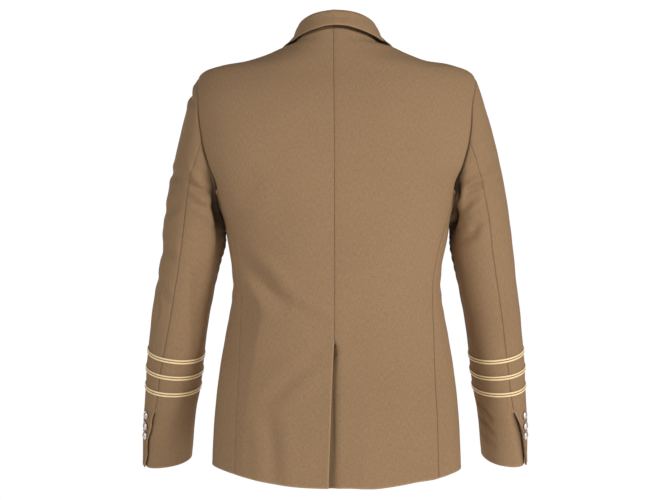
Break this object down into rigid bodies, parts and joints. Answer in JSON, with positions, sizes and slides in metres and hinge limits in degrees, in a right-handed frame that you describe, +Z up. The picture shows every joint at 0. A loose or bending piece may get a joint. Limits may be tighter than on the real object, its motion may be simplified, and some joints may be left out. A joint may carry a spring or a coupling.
{
  "type": "blazer",
  "caption": "Tailored single-breasted blazer held in its worn form, with notch lapels, open sleeves with gold braid rings at the cuffs, and a single back vent.",
  "frame": {"origin": "midway between the two side neck points, where the wearer's shoulders carry the blazer", "axes": "+Z up the body, -Y out of the front with its lapels, +Y out of the back with its vent, +X towards the wearer's left sleeve"},
  "size_m": [0.6554, 0.2654, 0.7535],
  "materials": {
    "cloth": "matt khaki brown twill",
    "gold_braid": "gold coloured braid with a soft metallic sheen",
    "button_metal": "satin silver coloured metal"
  },
  "bodies": {
    "root": {"back_left": "cloth", "back_right": "cloth", "side_left": "cloth", "side_right": "cloth", "front_left": "cloth", "front_right": "cloth", "lapel_left": "cloth", "lapel_right": "cloth", "collar": "cloth", "sleeve_left_top": "cloth", "sleeve_left_under": "cloth", "sleeve_right_top": "cloth", "sleeve_right_under": "cloth", "braid_left_1": "gold_braid", "braid_left_2": "gold_braid", "braid_left_3": "gold_braid", "braid_right_1": "gold_braid", "braid_right_2": "gold_braid", "braid_right_3": "gold_braid", "cuff_button_left_1": "button_metal", "cuff_button_left_2": "button_metal", "cuff_button_left_3": "button_metal", "cuff_button_right_1": "button_metal", "cuff_button_right_2": "button_metal", "cuff_button_right_3": "button_metal", "front_button_1": "button_metal", "front_button_2": "button_metal"}
  },
  "joints": []
}
